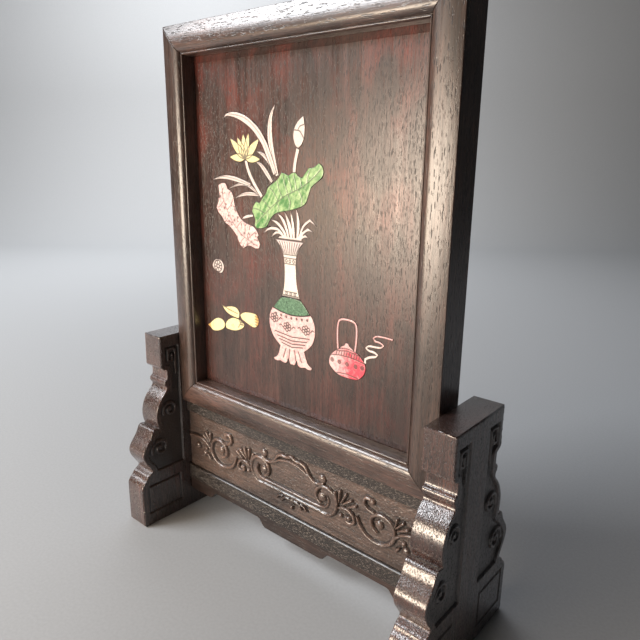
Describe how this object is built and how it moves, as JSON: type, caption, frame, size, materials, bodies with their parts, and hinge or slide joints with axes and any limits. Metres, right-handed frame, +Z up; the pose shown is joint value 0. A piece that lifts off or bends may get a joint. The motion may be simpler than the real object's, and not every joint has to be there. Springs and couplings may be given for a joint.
{
  "type": "table screen",
  "caption": "Small rosewood table screen: a moulded frame round a shell-inlaid panel, standing upright between carved feet joined by carved boards.",
  "frame": {"origin": "bottom centre of the bounding box: on the ground between the feet", "axes": "+X to the viewer's right along the screen, -Y towards the viewer (the inlaid front), +Z up"},
  "size_m": [0.2196, 0.0844, 0.3007],
  "materials": {
    "rosewood": "satin lacquered dark reddish-brown rosewood with open pores",
    "panel_wood": "satin lacquered almost black rosewood with reddish patches",
    "rail_wood": "dark rosewood, coarser and duller than the frame",
    "shell_white": "polished white shell with a faint pink lustre",
    "shell_pink": "polished pink shell, finely engraved",
    "shell_green": "dyed light green shell with engraved veins",
    "shell_deep_green": "dyed dark green shell",
    "shell_yellow": "pale yellow shell",
    "shell_red": "dyed rose-red shell with darker dots"
  },
  "bodies": {
    "root": {"apron": "rosewood", "carved_board": "rosewood", "foot_left": "rosewood", "foot_right": "rosewood", "frame_rail_bottom": "rosewood", "frame_rail_top": "rosewood", "frame_stile_left": "rosewood", "frame_stile_right": "rosewood", "inlay_bud_stem": "shell_white", "inlay_citron_fingers": "shell_yellow", "inlay_citron_leaf": "shell_yellow", "inlay_citron_middle": "shell_yellow", "inlay_citron_tip": "shell_yellow", "inlay_flower_stem": "shell_white", "inlay_grass_spray": "shell_white", "inlay_inner_blade": "shell_white", "inlay_leaf_green": "shell_green", "inlay_leaf_pink": "shell_pink", "inlay_left_blade": "shell_white", "inlay_long_blade": "shell_white", "inlay_lotus_bud": "shell_white", "inlay_lotus_flower": "shell_yellow", "inlay_low_blade": "shell_white", "inlay_lower_left_blade": "shell_white", "inlay_medallion": "shell_white", "inlay_short_blade": "shell_white", "inlay_steam": "shell_pink", "inlay_teapot_body": "shell_red", "inlay_teapot_handle": "shell_pink", "inlay_teapot_lid": "shell_pink", "inlay_twig_blade": "shell_white", "inlay_upright_blade": "shell_white", "inlay_vase_body": "shell_pink", "inlay_vase_collar": "shell_deep_green", "inlay_vase_neck": "shell_white", "panel": "panel_wood", "rail_lower": "rail_wood", "rail_upper": "rail_wood"}
  },
  "joints": []
}
